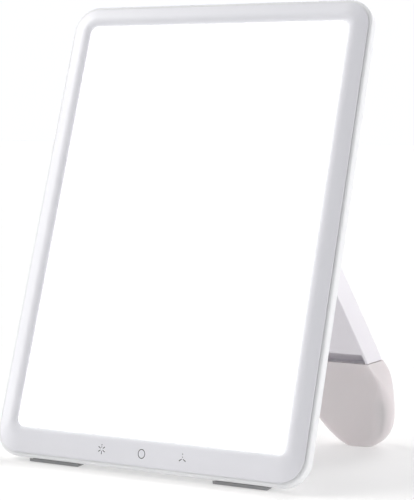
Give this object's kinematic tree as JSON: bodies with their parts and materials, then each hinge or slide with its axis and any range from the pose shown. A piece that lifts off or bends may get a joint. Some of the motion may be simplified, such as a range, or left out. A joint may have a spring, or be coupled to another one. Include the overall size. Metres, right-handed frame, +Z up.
{
  "type": "light therapy lamp",
  "caption": "Flat upright light panel in a rounded white frame with touch marks, leaning back on a wide flared folding stand with a soft boot.",
  "frame": {"origin": "on the floor under the middle of the lamp, at the middle of its width and of its depth with the stand open", "axes": "+Z up, -Y the way the lit face looks, +X to the right of someone who faces the lit face"},
  "size_m": [0.1868, 0.1288, 0.2416],
  "materials": {
    "white_plastic": "satin white moulded plastic",
    "white_back_plastic": "fine matt white moulded plastic",
    "stand_white_plastic": "satin white moulded plastic",
    "boot_silicone": "soft warm white silicone",
    "pad_rubber": "dark grey rubber",
    "opal_acrylic": "lit opal diffuser",
    "optical_film": "translucent film",
    "clear_acrylic": "clear acrylic",
    "reflector_film": "white reflector",
    "aluminium": "plain sheet",
    "steel": "plain steel",
    "circuit_board": "green solder mask",
    "white_circuit_board": "white solder mask",
    "black_plastic": "black moulded plastic",
    "conductive_foam": "dark foam",
    "ribbon_cable": "flat ribbon",
    "lead_insulation": "red insulation",
    "hinge_plastic": "grey glass-filled plastic",
    "washer_plastic": "natural friction plastic"
  },
  "bodies": {
    "head": {"back_housing": "white_back_plastic", "back_screw_1": "steel", "back_screw_2": "steel", "back_screw_3": "steel", "back_screw_4": "steel", "back_screw_5": "steel", "backing_plate": "aluminium", "base_pad_left": "pad_rubber", "base_pad_right": "pad_rubber", "board_screw_1": "steel", "board_screw_2": "steel", "bracket_screw_1": "steel", "bracket_screw_2": "steel", "bracket_screw_3": "steel", "bracket_screw_4": "steel", "control_board": "circuit_board", "controller_chip": "black_plastic", "diffuser_panel": "opal_acrylic", "front_frame": "white_plastic", "hinge_bracket": "hinge_plastic", "led_bar_left": "white_circuit_board", "led_bar_right": "white_circuit_board", "led_lead_left": "lead_insulation", "led_lead_right": "lead_insulation", "light_guide": "clear_acrylic", "optical_film": "optical_film", "power_inductor": "black_plastic", "power_socket": "black_plastic", "reflector_sheet": "reflector_film", "supply_capacitor": "aluminium", "touch_board": "circuit_board", "touch_contact_brightness": "conductive_foam", "touch_contact_power": "conductive_foam", "touch_contact_timer": "conductive_foam", "touch_ribbon": "ribbon_cable"},
    "stand": {"cover_screw_1": "steel", "cover_screw_2": "steel", "cover_screw_3": "steel", "cover_screw_4": "steel", "friction_washer_left": "washer_plastic", "friction_washer_right": "washer_plastic", "hinge_cap_left": "stand_white_plastic", "hinge_cap_right": "stand_white_plastic", "hinge_pin_left": "steel", "hinge_pin_right": "steel", "stand_boot": "boot_silicone", "stand_cover": "stand_white_plastic", "stand_shell": "stand_white_plastic", "stand_stiffener": "steel"}
  },
  "joints": [
    {"name": "stand_fold", "type": "hinge", "parent": "head", "child": "stand", "pos_m": [0, 0.01196, 0.14652], "axis": [-1, 0, 0], "range_deg": [0, 38.1]}
  ]
}
